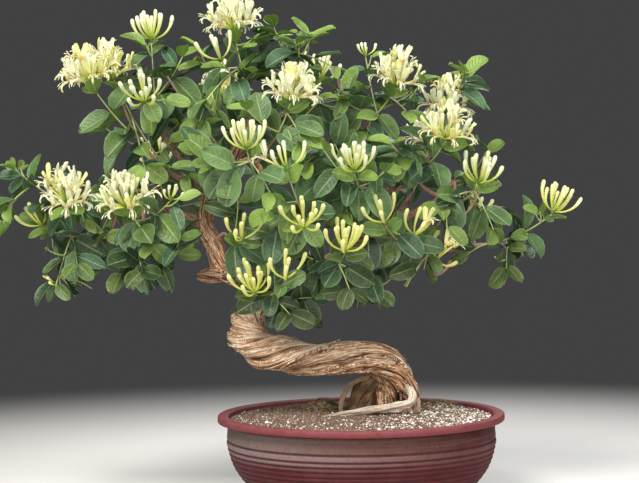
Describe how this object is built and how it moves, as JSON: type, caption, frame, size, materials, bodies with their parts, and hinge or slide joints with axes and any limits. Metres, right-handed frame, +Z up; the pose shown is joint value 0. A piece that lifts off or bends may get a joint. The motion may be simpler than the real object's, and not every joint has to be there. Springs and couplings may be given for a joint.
{
  "type": "bonsai honeysuckle vine in a pot",
  "caption": "Honeysuckle trained as a small tree: twisted trunk lying over and turning back, leafy shoots with heads of long curved flowers, in a round shallow pot of gritty soil.",
  "frame": {"origin": "middle of the pot's flat underside, on the surface that the pot stands on", "axes": "+Z up; -Y towards the front, from which the trunk is seen lying over to the left; +X to the right as seen from the front"},
  "size_m": [0.7412, 0.4132, 0.628],
  "materials": {
    "pot": "satin",
    "soil": "matte",
    "bark": "matte",
    "leaf": "satin",
    "petal": "satin"
  },
  "bodies": {
    "root": {"pot": "pot", "soil": "soil", "trunk": "bark", "leafy_spray_1": "leaf", "leafy_spray_2": "leaf", "leafy_spray_3": "leaf", "leafy_spray_4": "leaf", "leafy_spray_5": "leaf", "leafy_spray_6": "leaf", "leafy_spray_7": "leaf", "leafy_spray_8": "leaf", "leafy_spray_9": "leaf", "leafy_spray_10": "leaf", "leafy_spray_11": "leaf", "leafy_spray_12": "leaf", "leafy_spray_13": "leaf", "leafy_spray_14": "leaf", "leafy_spray_15": "leaf", "leafy_spray_16": "leaf", "leafy_spray_17": "leaf", "leafy_spray_18": "leaf", "leafy_spray_19": "leaf", "leafy_spray_20": "leaf", "leafy_spray_21": "leaf", "leafy_spray_22": "leaf", "leafy_spray_23": "leaf", "leafy_spray_24": "leaf", "leafy_spray_25": "leaf", "flower_head_1_1": "petal", "flower_head_1_2": "petal", "flower_head_2_1": "petal", "flower_head_2_2": "petal", "flower_head_3_2": "petal", "flower_head_4_1": "petal", "flower_head_5_1": "petal", "flower_head_7_1": "petal", "flower_head_7_2": "petal", "flower_head_9_1": "petal", "flower_head_10_1": "petal", "flower_head_11_1": "petal", "flower_head_11_2": "petal", "flower_head_12_1": "petal", "flower_head_13_1": "petal", "flower_head_14_1": "petal", "flower_head_14_2": "petal", "flower_head_15_1": "petal", "flower_head_16_1": "petal", "flower_head_17_1": "petal", "flower_head_17_2": "petal", "flower_head_17_3": "petal", "flower_head_18_1": "petal", "flower_head_19_1": "petal", "flower_head_19_3": "petal", "flower_head_20_1": "petal", "flower_head_21_1": "petal", "flower_head_22_1": "petal", "flower_head_22_2": "petal", "flower_head_23_1": "petal", "flower_head_24_1": "petal", "flower_head_25_1": "petal"}
  },
  "joints": []
}
